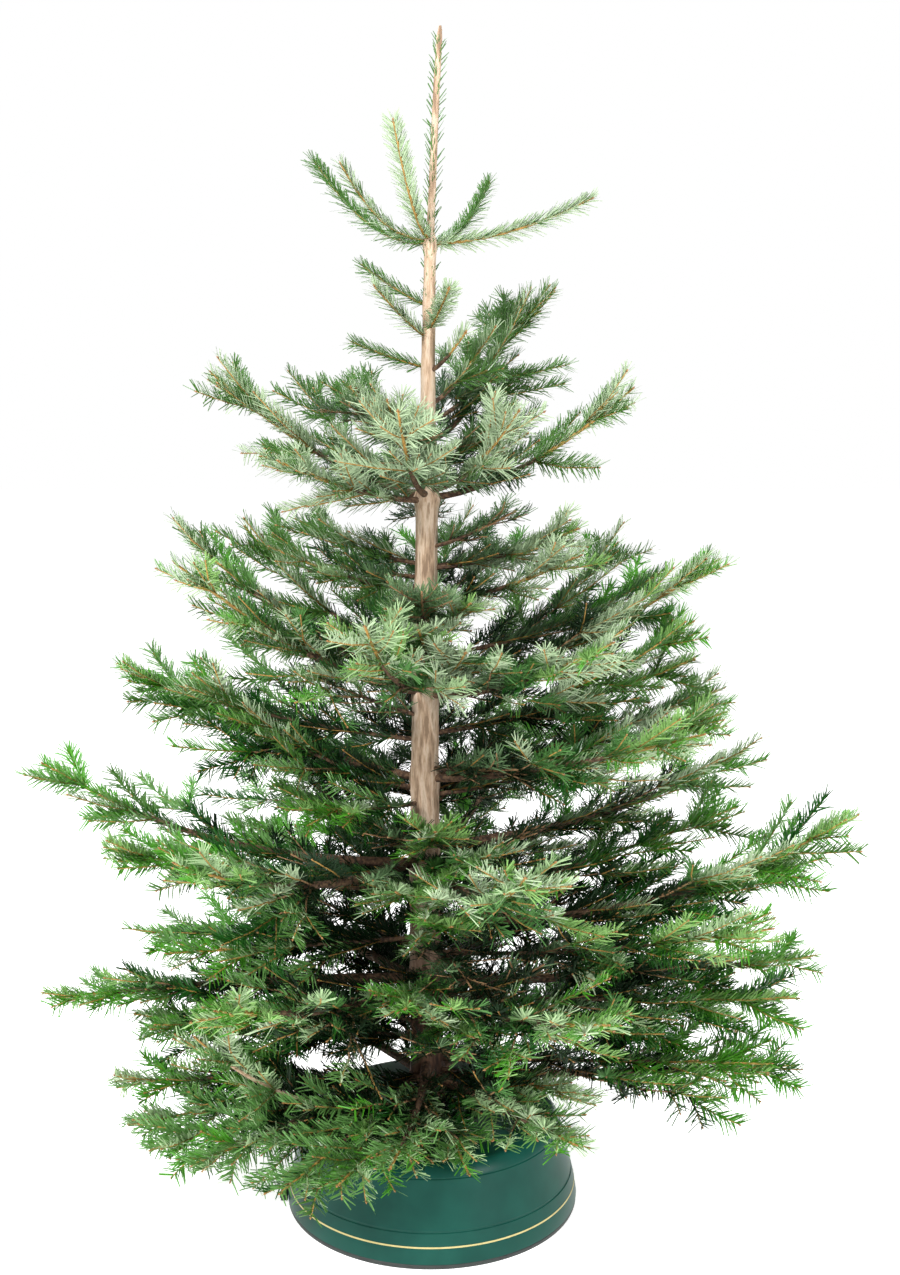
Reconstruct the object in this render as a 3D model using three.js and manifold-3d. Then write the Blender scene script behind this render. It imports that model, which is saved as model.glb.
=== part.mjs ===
// A cut Nordmann fir, 1.65 m tall, in its round plastic stand. Millimetres, +Z up.
// The origin is the centre of the flat underside of the stand, the front looks along -Y.
// The trunk runs whole from the stand to the tip of the leader. Boughs leave it in whorls,
// and every bough ends in a mass of foliage that grows on from it by one seeded rule.

import * as THREE from 'three';
import * as BufferGeometryUtils from 'three/addons/utils/BufferGeometryUtils.js';
import Module from 'manifold-3d';

const wasm = await Module();
wasm.setup();

// ---------------------------------------------------------------------------
// Driving dimensions
// ---------------------------------------------------------------------------

const GAP = 0.3; // running clearance between neighbouring solids
const SEAT = 12; // thickness of the boss that the cut end of the trunk stands on

// Trunk stations: height, radius, lean along X and lean along Y. The radius steps in
// above each whorl, where the wood of the boughs is spent.
const TRUNK = [
  [SEAT + GAP, 26, 0, 0],
  [60, 25.5, -2, 1],
  [176, 24, -7, 3],
  [310, 22.8, -9, 4],
  [420, 21.6, -10, 5],
  [500, 21.4, -10, 5],
  [625, 20, -9.5, 4],
  [740, 18.6, -8.5, 2],
  [766, 17, -8, 2],
  [884, 15.8, -7.5, 1],
  [1008, 15.6, -6, 0],
  [1022, 17.5, -6, 0],
  [1040, 12.6, -5.5, 0],
  [1166, 10.2, -4, 0],
  [1240, 8.8, -3, 1],
  [1352, 8, -1, 2],
  [1366, 9.5, -1, 2],
  [1380, 5.4, -0.5, 2],
  [1550, 4.6, 7, 2],
  [1636, 4, 12, 2],
  [1650, 2, 13, 2],
];
const TRUNK_SIDES = 10;

// Whorls from the leader down. years is the age of its boughs, curl how strongly they turn
// up towards the tip, limbs how many of them are thick enough to be a piece of their own
// ahead of the foliage, green the share of the way out where the needles start, stem the
// radius of the wood there and width that of a spray of needles. Each bough is a row:
// heading in degrees from +X towards +Y, reach, rise, and how far above the whorl it roots.
const TIERS = [
  {
    height: 1366, years: 1, curl: 1.5, limbs: 0, green: 0.08, stem: 2.6, width: 36, rows: [
      [350, 224, 57, 0], [62, 181, 108, 3], [150, 194, 131, 0], [205, 125, 92, 4], [245, 108, 140, 6],
    ],
  },
  {
    height: 1240, years: 1, curl: 1.2, limbs: 0, green: 0.1, stem: 2.6, width: 42, rows: [
      [168, 97, 59, 43], [215, 90, 68, 0], [285, 111, 47, 12], [188, 107, 35, -40],
    ],
  },
  {
    height: 1023, years: 2, curl: 1.7, limbs: 0, green: 0.14, stem: 4.6, width: 52, rows: [
      [2, 293, 157, 0], [56, 240, 215, 80], [128, 310, 170, 0], [183, 303, 174, 4],
      [218, 248, 60, -4], [262, 235, 118, 4], [315, 180, 117, 10],
    ],
  },
  {
    height: 884, years: 2, curl: 1.5, limbs: 0, green: 0.2, stem: 4, width: 56, rows: [
      [82, 260, 90, 0], [200, 230, 70, 10], [328, 250, 80, -8],
    ],
  },
  {
    height: 751, years: 3, curl: 1.6, limbs: 0, green: 0.18, stem: 5.6, width: 62, rows: [
      [5, 426, 188, 0], [42, 410, 190, 6], [105, 400, 170, 0], [165, 380, 222, 6],
      [212, 380, 205, 0], [258, 330, 130, 6], [312, 360, 112, -4],
    ],
  },
  {
    height: 625, years: 3, curl: 1.6, limbs: 0, green: 0.24, stem: 6.2, width: 68, rows: [
      [175, 451, 161, 0], [15, 469, 112, 0], [92, 400, 130, 6], [328, 430, 110, 0],
    ],
  },
  {
    height: 500, years: 4, curl: 2.4, limbs: 3, green: 0.26, stem: 5.6, width: 70, rows: [
      [178, 558, 146, 0], [352, 610, 180, -84], [24, 560, 100, 22], [72, 560, 130, 0],
      [124, 570, 130, 6], [232, 480, 105, 6], [284, 500, 125, 0],
    ],
  },
  {
    height: 320, years: 5, curl: 1.8, limbs: 2, green: 0.26, stem: 5.4, width: 70, rows: [
      [8, 590, 10, 0], [182, 549, -25, 8], [66, 560, 40, 8], [124, 580, 40, 0],
      [236, 450, 70, 0], [298, 480, 100, 8],
    ],
  },
  {
    height: 176, years: 5, curl: 1.5, limbs: 0, green: 0.24, stem: 5.6, width: 68, rows: [
      [356, 540, 30, 6], [55, 490, 20, 0], [125, 500, 20, 6], [186, 455, 15, 0],
      [222, 410, -30, 10], [262, 320, -15, 30], [302, 370, 40, 8],
    ],
  },
];

// The growth rule that every mass follows.
const SPREAD = 50; // degrees between an axis and the pair of side twigs at each year's node
const SPREAD_PLAY = 7;
const SIDE_SHARE = [0.68, 0.6]; // side twig's length as a share of what its axis still grows
const SWAY = 0.035; // sideways wander of a bough as a share of its reach
const CURL_PLAY = 0.2;
const GROWTH_PLAY = 0.12;
const ROLL = 14; // degrees by which a frond may be rolled about its bough
const FROND_AT = 0.6; // where along a bough the upper side of its frond is taken
const TWIST = 26; // degrees by which each pair of side twigs is rolled from the last
const SHORT_SHARE = 0.55; // short twigs between two nodes, as a share of that year's growth
const MIN_TWIG = 72; // a twig shorter than this is left out
const NODE_CLEAR = 0.05; // a year's node this near the start of a mass, or nearer, is bare
const FORWARD = 0.16; // how much each year's growth of a side twig turns forward
const LIFT = 0.1; // and how much it turns up
const SHORTER = [1, 0.8, 0.62]; // lengths tried, in turn, for a twig that would leave its space

// Sprays of needles: toothed blades with a raised midrib above and below.
const SPRAY_LENGTH = 165; // longest single spray
const SPRAY_SLIM = 0.64; // a short spray is no wider than this share of its length
const SPRAY_DEPTH = 0.6; // depth over both midribs as a share of the width
const NARROWER = [1, 0.75, 0.5]; // widths tried, in turn, for a spray on a bough itself
const TOOTH_PITCH = 56;
const FIRST_TOOTH = 0.75; // reach of the first tooth, in pitches
const PAST_TOOTH = 0.6; // from the last tooth to the tip of the spray, in pitches
const NOTCH_AHEAD = 0.25; // from a tooth to the notch ahead of it, in pitches
const NOTCH = 0.46; // half width left at a notch, as a share of the half width at a tooth
const TAPER = 0.35; // how much narrower the teeth at either end are
const OVERLAP = 0.2; // share of a spray that reaches back over the one behind it
const SPRAY_CLEAR = 0.25; // share of a spray's width that it starts clear of the trunk

// Wood inside the masses.
const TWIG_SIDES = 3;
const TWIG_RADIUS = 2.2;
const STEM_SINK = 0.06; // how far a stem runs on into its first spray, as a share of the bough
const BOUGH_SIDES = 7;
const BOUGH_RADIUS = 9.5;

// A mass's space: the points nearer to its own bough than to any other, with heights
// counted more, because fronds are flat.
const HEIGHT_WEIGHT = 2.2;
const SPACE_MARGIN = 5;
const LINE_STEPS = 12;
const TRUNK_MARGIN = 9;
const FLOOR_MARGIN = 9;
const STAND_MARGIN = 18;

// Stand: outer skirt profile, radius and height of each ring from the foot up.
const STAND_SEGMENTS = 28;
const SKIRT = [[211.5, 7.3], [208.5, 30], [204, 49], [187, 116], [177, 132]];
const WALL = 4;
const COLLAR_RADIUS = 76; // radius of the round mouth in the top of the stand
const MOUTH_HEIGHT = 134;
const MOUTH_DEPTH = 8;
const BASE_RADIUS = 205;
const BASE_THICK = 5;
const RIM_RADIUS = 211;
const RIM_HEIGHT = 7;
const SEAT_RADIUS = 62;
const CLAMP = { inner: 58, low: 98, high: 126 };
const JAWS = { count: 5, from: 18, width: 22, low: 104, high: 122, sunk: 4 };
const PEDAL = { from: 152, to: 188, width: 11, low: 1.5, high: 10 };

const COLOURS = {
  bark: 0x8a6f5a,
  bough: 0x6f5140,
  plastic: 0x2f6458,
  dark: 0x1d2221,
  topNeedles: 0x8fae9c,
  lowNeedles: 0x3f7a3c,
};

// ---------------------------------------------------------------------------
// Small helpers
// ---------------------------------------------------------------------------

const UP = new THREE.Vector3(0, 0, 1);
const radians = THREE.MathUtils.degToRad;
const mix = THREE.MathUtils.lerp;

// A repeatable number from 0 to 1 for a key and a draw.
function chance(key, draw) {
  const wave = Math.sin(key * 12.9898 + draw * 78.233) * 43758.5453;
  return wave - Math.floor(wave);
}

// The same as a number from -size to +size.
function play(key, draw, size) {
  return (2 * chance(key, draw) - 1) * size;
}

function headingOf(degrees) {
  return new THREE.Vector3(Math.cos(radians(degrees)), Math.sin(radians(degrees)), 0);
}

// Turns a closed three.js geometry into a manifold solid.
function toSolid(geometry) {
  const bare = geometry.clone();
  bare.deleteAttribute('normal');
  bare.deleteAttribute('uv');
  const merged = BufferGeometryUtils.mergeVertices(bare);
  const vertProperties = new Float32Array(merged.attributes.position.array);
  const triVerts = new Uint32Array(merged.index.array);
  return new wasm.Manifold(new wasm.Mesh({ numProp: 3, vertProperties, triVerts }));
}

// Turns a manifold solid back into a three.js geometry, without loose scraps.
function toGeometry(solid) {
  const pieces = solid.decompose();
  pieces.sort((a, b) => b.volume() - a.volume());
  const mesh = pieces[0].getMesh();
  const geometry = new THREE.BufferGeometry();
  geometry.setAttribute('position', new THREE.BufferAttribute(new Float32Array(mesh.vertProperties), 3));
  geometry.setIndex(new THREE.BufferAttribute(new Uint32Array(mesh.triVerts), 1));
  geometry.computeVertexNormals();
  return geometry;
}

function addMesh(group, name, geometry, colour, roughness) {
  const material = new THREE.MeshStandardMaterial({ color: colour, roughness, metalness: 0 });
  const mesh = new THREE.Mesh(geometry, material);
  mesh.name = name;
  group.add(mesh);
}

// ---------------------------------------------------------------------------
// Wood: tapering limbs through a row of stations
// ---------------------------------------------------------------------------

// Each station holds its point, its radius and the direction the limb runs in there.
// A cylinder's rings are moved onto the stations, so the limb is one closed body.
function limb(stations, sides) {
  const last = stations.length - 1;
  const geometry = new THREE.CylinderGeometry(1, 1, last, sides, last);
  const place = geometry.attributes.position;
  for (let i = 0; i < place.count; i += 1) {
    const station = stations[Math.round(place.getY(i) + last / 2)];
    const side = new THREE.Vector3().crossVectors(station.along, UP);
    if (side.lengthSq() < 0.01) side.set(1, 0, 0);
    side.normalize();
    const top = new THREE.Vector3().crossVectors(side, station.along);
    const point = station.point.clone();
    point.addScaledVector(side, place.getX(i) * station.radius);
    point.addScaledVector(top, place.getZ(i) * station.radius);
    place.setXYZ(i, point.x, point.y, point.z);
  }
  return geometry;
}

function trunkStations(extra) {
  return TRUNK.map(([height, radius, leanX, leanY]) => ({
    point: new THREE.Vector3(leanX, leanY, height),
    radius: radius + extra,
    along: UP,
  }));
}

// The trunk with its clearance, cut out of whatever meets it.
const trunkClear = toSolid(limb(trunkStations(GAP), TRUNK_SIDES));

// Centre and radius of the trunk at a height.
function trunkAt(height) {
  let i = 1;
  while (i < TRUNK.length - 1 && TRUNK[i][0] < height) i += 1;
  const [low, high] = [TRUNK[i - 1], TRUNK[i]];
  const share = THREE.MathUtils.clamp((height - low[0]) / (high[0] - low[0]), 0, 1);
  return {
    centre: new THREE.Vector3(mix(low[2], high[2], share), mix(low[3], high[3], share), height),
    radius: mix(low[1], high[1], share),
  };
}

// ---------------------------------------------------------------------------
// Bough lines: the path of each bough from the middle of the trunk to its last bud
// ---------------------------------------------------------------------------

function boughLine(tier, row, key) {
  const [heading, reach, rise, above] = row;
  const out = headingOf(heading);
  const side = new THREE.Vector3().crossVectors(UP, out);
  const root = trunkAt(tier.height + above).centre;
  const sway = play(key, 1, SWAY) * reach;
  const curl = tier.curl + play(key, 2, CURL_PLAY);
  const at = (share) => {
    const point = root.clone().addScaledVector(out, reach * share);
    point.z += rise * share ** curl;
    return point.addScaledVector(side, sway * Math.sin(Math.PI * share));
  };
  const along = (share) => {
    const step = 0.01;
    return at(share + step).sub(at(share - step * Math.min(1, share / step))).normalize();
  };
  return { at, along, reach, length: at(0.5).distanceTo(root) + at(1).distanceTo(at(0.5)) };
}

// Every bough of the tree with its tier, its key and its line.
function listBoughs() {
  const boughs = [];
  TIERS.forEach((tier, level) => {
    tier.rows.forEach((row, index) => {
      const key = boughs.length + 1;
      const line = boughLine(tier, row, key);
      const marks = [];
      for (let i = 0; i <= LINE_STEPS; i += 1) marks.push(line.at(i / LINE_STEPS));
      boughs.push({ tier, level, index, key, line, marks, limb: index < tier.limbs });
    });
  });
  return boughs;
}

const BOUGHS = listBoughs();

// Distance from a point to a bough's line, with heights counted more.
function distanceTo(bough, point) {
  let nearest = Infinity;
  for (let i = 1; i < bough.marks.length; i += 1) {
    const start = bough.marks[i - 1];
    const end = bough.marks[i];
    const run = [end.x - start.x, end.y - start.y, (end.z - start.z) * HEIGHT_WEIGHT];
    const off = [point.x - start.x, point.y - start.y, (point.z - start.z) * HEIGHT_WEIGHT];
    const size = run[0] ** 2 + run[1] ** 2 + run[2] ** 2;
    const share = (run[0] * off[0] + run[1] * off[1] + run[2] * off[2]) / size;
    const held = THREE.MathUtils.clamp(share, 0, 1);
    const gap = Math.hypot(off[0] - held * run[0], off[1] - held * run[1], off[2] - held * run[2]);
    nearest = Math.min(nearest, gap);
  }
  return nearest;
}

// Whether a point lies in the bough's own space, clear of the trunk, stand and floor.
function inSpace(bough, point) {
  const trunk = trunkAt(point.z);
  const away = Math.hypot(point.x - trunk.centre.x, point.y - trunk.centre.y);
  if (point.z < TRUNK[TRUNK.length - 1][0] && away < trunk.radius + TRUNK_MARGIN) return false;
  const overStand = Math.hypot(point.x, point.y) < SKIRT[0][0] + PEDAL.width + STAND_MARGIN;
  if (point.z < (overStand ? MOUTH_HEIGHT + STAND_MARGIN : FLOOR_MARGIN)) return false;
  const own = distanceTo(bough, point) + SPACE_MARGIN;
  return BOUGHS.every((other) => other === bough || distanceTo(other, point) > own);
}

// ---------------------------------------------------------------------------
// Growth rule: an axis is a row of stops, one for each year's node
// ---------------------------------------------------------------------------

function lengthFrom(stops, first) {
  let length = 0;
  for (let i = first + 1; i < stops.length; i += 1) length += stops[i].distanceTo(stops[i - 1]);
  return length;
}

// Where an axis sends out pairs of side twigs: at each year's node, and short ones halfway
// along each year's growth from the given year on.
function forksOf(stops, order, shortFrom) {
  const forks = [];
  for (let year = 1; year < stops.length; year += 1) {
    const step = stops[year].clone().sub(stops[year - 1]);
    const along = step.clone().normalize();
    if (year >= shortFrom) {
      const place = stops[year].clone().lerp(stops[year - 1], 0.5);
      forks.push({ place, along, years: 1, growth: SHORT_SHARE * step.length() });
    }
    if (year < stops.length - 1) {
      const growth = SIDE_SHARE[order] * lengthFrom(stops, year);
      forks.push({ place: stops[year], along, years: stops.length - 1 - year, growth });
    }
  }
  return forks;
}

// The stops of one side twig of a fork.
function sideTwig(fork, up, side, key, share) {
  const across = new THREE.Vector3().crossVectors(up, fork.along).normalize().multiplyScalar(side);
  const angle = radians(SPREAD + play(key, 3, SPREAD_PLAY));
  const heading = fork.along.clone().multiplyScalar(Math.cos(angle));
  heading.addScaledVector(across, Math.sin(angle));
  const step = (fork.growth * share * (1 + play(key, 4, GROWTH_PLAY))) / fork.years;
  const twig = [fork.place.clone()];
  for (let year = 0; year < fork.years; year += 1) {
    heading.addScaledVector(fork.along, FORWARD).addScaledVector(UP, LIFT * chance(key, 5 + year));
    twig.push(twig[year].clone().addScaledVector(heading.normalize(), step));
  }
  return twig;
}

// ---------------------------------------------------------------------------
// Sprays of needles
// ---------------------------------------------------------------------------

// Points of a spray's outline: pairs of forward teeth with a notch ahead of each.
function toothed(length, width) {
  const pairs = Math.max(2, Math.round(length / TOOTH_PITCH));
  const pitch = length / (pairs - 1 + FIRST_TOOTH + PAST_TOOTH);
  const side = [];
  for (let i = 0; i < pairs; i += 1) {
    const reach = (i + FIRST_TOOTH) * pitch;
    const half = 0.5 * width * (1 - TAPER * Math.abs((2 * reach) / length - 1));
    side.push([reach, half]);
    if (i < pairs - 1) side.push([reach + NOTCH_AHEAD * pitch, half * NOTCH]);
  }
  const midrib = [];
  const ribs = Math.floor(pairs / 2);
  for (let i = 1; i <= ribs; i += 1) midrib.push((i / (ribs + 1)) * length);
  return { side, midrib };
}

function spray(from, to, up, widest) {
  const along = to.clone().sub(from);
  const length = along.length();
  along.normalize();
  const across = new THREE.Vector3().crossVectors(up, along).normalize();
  const rise = new THREE.Vector3().crossVectors(along, across);
  const width = Math.min(widest, SPRAY_SLIM * length);
  const { side, midrib } = toothed(length, width);
  const points = [];
  const put = (a, c, r) => {
    const point = from.clone().addScaledVector(along, a).addScaledVector(across, c);
    points.push(point.addScaledVector(rise, r));
    return points.length - 1;
  };
  const base = put(0, 0, 0);
  const tip = put(length, 0, 0);
  const faces = [];
  const chains = [1, -1].map((sign) => [base, ...side.map(([a, c]) => put(a, c * sign, 0)), tip]);
  const reachOf = [0, ...side.map(([a]) => a), length];
  const ribReach = [0, ...midrib, length];
  for (const level of [1, -1]) {
    const rib = [base, ...midrib.map((a) => put(a, 0, 0.5 * level * SPRAY_DEPTH * width)), tip];
    chains.forEach((chain, index) => {
      const outward = level * (index === 0 ? 1 : -1) > 0;
      const face = (a, b, c) => faces.push(...(outward ? [a, b, c] : [a, c, b]));
      let i = 0;
      let j = 0;
      while (i < rib.length - 1 || j < chain.length - 1) {
        const ribNext = i < rib.length - 1 ? ribReach[i + 1] : Infinity;
        const sideNext = j < chain.length - 1 ? reachOf[j + 1] : Infinity;
        if (ribNext < sideNext) {
          if (rib[i] !== chain[j] && rib[i + 1] !== chain[j]) face(rib[i], rib[i + 1], chain[j]);
          i += 1;
        } else {
          if (rib[i] !== chain[j + 1] && rib[i] !== chain[j]) face(rib[i], chain[j + 1], chain[j]);
          j += 1;
        }
      }
    });
  }
  const geometry = new THREE.BufferGeometry().setFromPoints(points);
  geometry.setIndex(faces);
  return { geometry, corners: points };
}

// ---------------------------------------------------------------------------
// Foliage: one mass on each bough
// ---------------------------------------------------------------------------

// The upper side of a bough's frond, rolled a little about the bough.
function upperSide(line, key) {
  const along = line.along(FROND_AT);
  const side = new THREE.Vector3().crossVectors(along, UP).normalize();
  return new THREE.Vector3().crossVectors(side, along).applyAxisAngle(along, radians(play(key, 9, ROLL)));
}

// Clothes a path, given by the point at each share of it, with sprays of needles up to its
// tip. Gives nothing if one of them would leave the space.
function clothe(bough, pathAt, length, up, width) {
  const count = Math.max(1, Math.round(length / SPRAY_LENGTH));
  const sprays = [];
  for (let i = 0; i < count; i += 1) {
    const from = pathAt(Math.max(0, i - OVERLAP) / count);
    const made = spray(from, pathAt((i + 1) / count), up, width);
    if (!made.corners.every((corner) => inSpace(bough, corner))) return null;
    sprays.push(made.geometry);
  }
  return sprays;
}

function clotheTwig(bough, stops, up) {
  const path = new THREE.CurvePath();
  for (let i = 1; i < stops.length; i += 1) path.add(new THREE.LineCurve3(stops[i - 1], stops[i]));
  return clothe(bough, (share) => path.getPointAt(share), path.getLength(), up, bough.tier.width);
}

// Side twigs of an axis, and theirs in turn. A twig that would leave the space of its
// bough is tried shorter, and then skipped.
function addSides(bough, stops, order, up, key, shortFrom, parts) {
  forksOf(stops, order, shortFrom).forEach((fork, index) => {
    const twist = TWIST * (index % 2 ? 1 : -1) + play(key, 20 + index, ROLL);
    const forkUp = up.clone().applyAxisAngle(fork.along, radians(twist));
    for (const side of [1, -1]) {
      const twigKey = key * 13 + index * 2 + (side > 0 ? 1 : 0);
      for (const share of SHORTER) {
        if (fork.growth * share < MIN_TWIG) break;
        const twig = sideTwig(fork, forkUp, side, twigKey, share);
        const sprays = clotheTwig(bough, twig, forkUp);
        if (!sprays) continue;
        parts.push(...sprays);
        if (order === 0) addSides(bough, twig, 1, forkUp, twigKey, Infinity, parts);
        break;
      }
    }
  });
}

// Where the needles start on a bough: past its bare foot and clear of the trunk.
function greenStart({ tier, line, limb: bare }) {
  if (bare) return tier.green + STEM_SINK / 2;
  const clear = trunkAt(line.at(0).z).radius + TRUNK_MARGIN + SPRAY_CLEAR * tier.width;
  return Math.max(tier.green, clear / line.reach);
}

// The stem of a mass, from its bough's end or the trunk into the first spray.
function stemOf(bough, start, green) {
  const shares = [start, mix(start, green, 0.5), green + STEM_SINK];
  const stations = shares.map((share, i) => ({
    point: bough.line.at(share),
    radius: mix(bough.tier.stem, TWIG_RADIUS, i / 2),
    along: bough.line.along(share),
  }));
  if (bough.limb) stations[0].point.addScaledVector(stations[0].along, GAP);
  return limb(stations, TWIG_SIDES);
}

function foliageMass(bough) {
  const { tier, key, line } = bough;
  const start = bough.limb ? tier.green : 0;
  const green = greenStart(bough);
  const up = upperSide(line, key);
  const parts = [stemOf(bough, start, green)];
  const onward = (share) => line.at(mix(green, 1, share));
  for (const share of NARROWER) {
    const sprays = clothe(bough, onward, (1 - green) * line.length, up, share * tier.width);
    if (!sprays) continue;
    parts.push(...sprays);
    break;
  }
  const stops = [line.at(start)];
  for (let year = 1; year <= tier.years; year += 1) {
    if (year / tier.years > start + NODE_CLEAR) stops.push(line.at(year / tier.years));
  }
  const shortFrom = tier.years > 1 ? tier.years - 1 : Infinity;
  addSides(bough, stops, 0, up, key, shortFrom, parts);
  const solid = wasm.Manifold.union(parts.map(toSolid));
  return bough.limb ? solid : solid.subtract(trunkClear);
}

// ---------------------------------------------------------------------------
// Bare feet of the main boughs
// ---------------------------------------------------------------------------

function mainBough({ tier, line }) {
  const stations = [0, 0.4, 0.75, 1].map((share) => ({
    point: line.at(share * tier.green),
    radius: mix(BOUGH_RADIUS, tier.stem, Math.sqrt(share)),
    along: line.along(share * tier.green),
  }));
  return toSolid(limb(stations, BOUGH_SIDES)).subtract(trunkClear);
}

// ---------------------------------------------------------------------------
// Stand
// ---------------------------------------------------------------------------

// A ring or disc turned about the Z axis from a profile of radius and height.
function turned(profile) {
  const points = profile.map(([radius, height]) => new THREE.Vector2(radius, height));
  return new THREE.LatheGeometry(points, STAND_SEGMENTS).rotateX(Math.PI / 2);
}

// Floor plate with a foot rim round it and a boss that the trunk stands on.
function standBase() {
  return turned([
    [0, 0], [RIM_RADIUS, 0], [RIM_RADIUS, RIM_HEIGHT], [BASE_RADIUS, RIM_HEIGHT],
    [BASE_RADIUS, BASE_THICK], [SEAT_RADIUS, BASE_THICK], [SEAT_RADIUS, SEAT], [0, SEAT],
  ]);
}

// Hollow skirt: its outer profile up to the mouth, and the same moved in by the wall.
function standShell() {
  const shoulder = SKIRT.length - 1;
  const inside = SKIRT.map(([radius, height], i) => [radius - WALL, i === shoulder ? height - WALL : height]);
  const mouth = [[COLLAR_RADIUS, MOUTH_HEIGHT], [COLLAR_RADIUS, MOUTH_HEIGHT - MOUTH_DEPTH]];
  return turned([...SKIRT, ...mouth, ...inside.reverse(), SKIRT[0]]);
}

// Clamp: a ring in the mouth with jaws that close on the trunk.
function standClamp() {
  const { inner, low, high } = CLAMP;
  const outside = COLLAR_RADIUS - GAP;
  const ring = [[inner, low], [outside, low], [outside, high], [inner, high], [inner, low]];
  const parts = [toSolid(turned(ring))];
  const reach = inner + JAWS.sunk;
  for (let i = 0; i < JAWS.count; i += 1) {
    const jaw = new THREE.BoxGeometry(reach, JAWS.width, JAWS.high - JAWS.low);
    jaw.translate(reach / 2, 0, (JAWS.high + JAWS.low) / 2);
    parts.push(toSolid(jaw.rotateZ(radians(JAWS.from + (360 * i) / JAWS.count))));
  }
  return wasm.Manifold.union(parts).subtract(trunkClear);
}

// Foot lever that lies round the rear left of the skirt, just outside the foot rim.
function standPedal() {
  const inside = SKIRT[0][0] + GAP;
  const outline = new THREE.Shape();
  outline.absarc(0, 0, inside + PEDAL.width, radians(PEDAL.from), radians(PEDAL.to), false);
  outline.absarc(0, 0, inside, radians(PEDAL.to), radians(PEDAL.from), true);
  const options = { depth: PEDAL.high - PEDAL.low, bevelEnabled: false, curveSegments: 6 };
  return new THREE.ExtrudeGeometry(outline, options).translate(0, 0, PEDAL.low);
}

// ---------------------------------------------------------------------------
// The tree
// ---------------------------------------------------------------------------

const tree = new THREE.Group();
addMesh(tree, 'trunk', toGeometry(toSolid(limb(trunkStations(0), TRUNK_SIDES))), COLOURS.bark, 0.9);
addMesh(tree, 'stand_base', toGeometry(toSolid(standBase())), COLOURS.dark, 0.5);
addMesh(tree, 'stand_shell', toGeometry(toSolid(standShell())), COLOURS.plastic, 0.4);
addMesh(tree, 'stand_clamp', toGeometry(standClamp()), COLOURS.dark, 0.5);
addMesh(tree, 'stand_pedal', toGeometry(toSolid(standPedal())), COLOURS.dark, 0.5);
for (const bough of BOUGHS) {
  const place = `${bough.level + 1}_${bough.index + 1}`;
  const needles = new THREE.Color(COLOURS.topNeedles);
  needles.lerp(new THREE.Color(COLOURS.lowNeedles), bough.level / (TIERS.length - 1));
  if (bough.limb) addMesh(tree, `bough_${place}`, toGeometry(mainBough(bough)), COLOURS.bough, 0.9);
  addMesh(tree, `foliage_${place}`, toGeometry(foliageMass(bough)), needles, 0.8);
}

export default tree;
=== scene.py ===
import math

import bmesh
import bpy
import numpy as np
from mathutils import Matrix, Vector, noise


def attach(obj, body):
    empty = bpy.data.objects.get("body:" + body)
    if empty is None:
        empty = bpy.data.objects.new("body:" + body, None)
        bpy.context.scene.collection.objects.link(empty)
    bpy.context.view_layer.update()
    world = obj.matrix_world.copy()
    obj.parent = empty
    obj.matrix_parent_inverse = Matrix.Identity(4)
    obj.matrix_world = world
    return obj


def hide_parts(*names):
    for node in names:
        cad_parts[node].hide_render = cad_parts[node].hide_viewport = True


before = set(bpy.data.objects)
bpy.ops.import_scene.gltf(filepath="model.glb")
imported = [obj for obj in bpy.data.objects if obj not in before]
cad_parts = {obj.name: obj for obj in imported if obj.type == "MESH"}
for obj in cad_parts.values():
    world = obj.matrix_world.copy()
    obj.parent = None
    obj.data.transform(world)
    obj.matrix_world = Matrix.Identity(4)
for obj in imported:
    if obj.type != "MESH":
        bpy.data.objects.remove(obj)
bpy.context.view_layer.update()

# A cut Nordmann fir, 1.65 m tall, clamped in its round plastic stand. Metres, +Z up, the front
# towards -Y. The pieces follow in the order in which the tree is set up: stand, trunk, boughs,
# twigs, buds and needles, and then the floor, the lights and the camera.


# Stand skirt: the hollow body of the stand, injection moulded in dark green
# polypropylene. Its wall steps in at a crease above the foot band and again below the
# shoulder, and the top runs flat to the round mouth that the clamp sits in.

MM = 0.001
SKIRT_OUTSIDE = [
    (211.5, 7.3), (211.7, 10), (208.5, 30), (204.6, 47.6), (203.4, 48.2), (203.2, 50.4),
    (203.6, 51.4), (187.4, 115), (186.0, 116.2), (185.6, 118.4), (178.5, 130), (175.5, 132.4),
    (170, 133.3), (78, 134), (76, 133),
]
SKIRT_INSIDE = [(76, 126), (173, 128), (183, 116), (200, 49), (204.5, 30), (207.5, 7.3)]
SKIRT_STEPS = 160
GREEN_PLASTIC = "#0A3F37"
GREEN_PLASTIC_WORN = "#144C42"
CLOUD_SIZE = 60 * MM
MOULDED_GRAIN = 0.7 * MM  # spark-eroded grain of the mould, coarser than life so that it shows
MOULDED_RELIEF = 0.1 * MM
WELD = 0.01 * MM
SHARP = math.radians(32)


def linear(colour):
    """An sRGB hex colour as linear red, green, blue and alpha."""
    channels = [int(colour[i:i + 2], 16) / 255 for i in (1, 3, 5)]
    return [c / 12.92 if c <= 0.04045 else ((c + 0.055) / 1.055) ** 2.4 for c in channels] + [1]


def new_material(name, **shader):
    """A material whose shader's sockets take the given values."""
    material = bpy.data.materials.new(name)
    material.use_nodes = True
    surface = material.node_tree.nodes["Principled BSDF"]
    for socket, value in shader.items():
        surface.inputs[socket.replace("_", " ")].default_value = value
    return material


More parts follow.
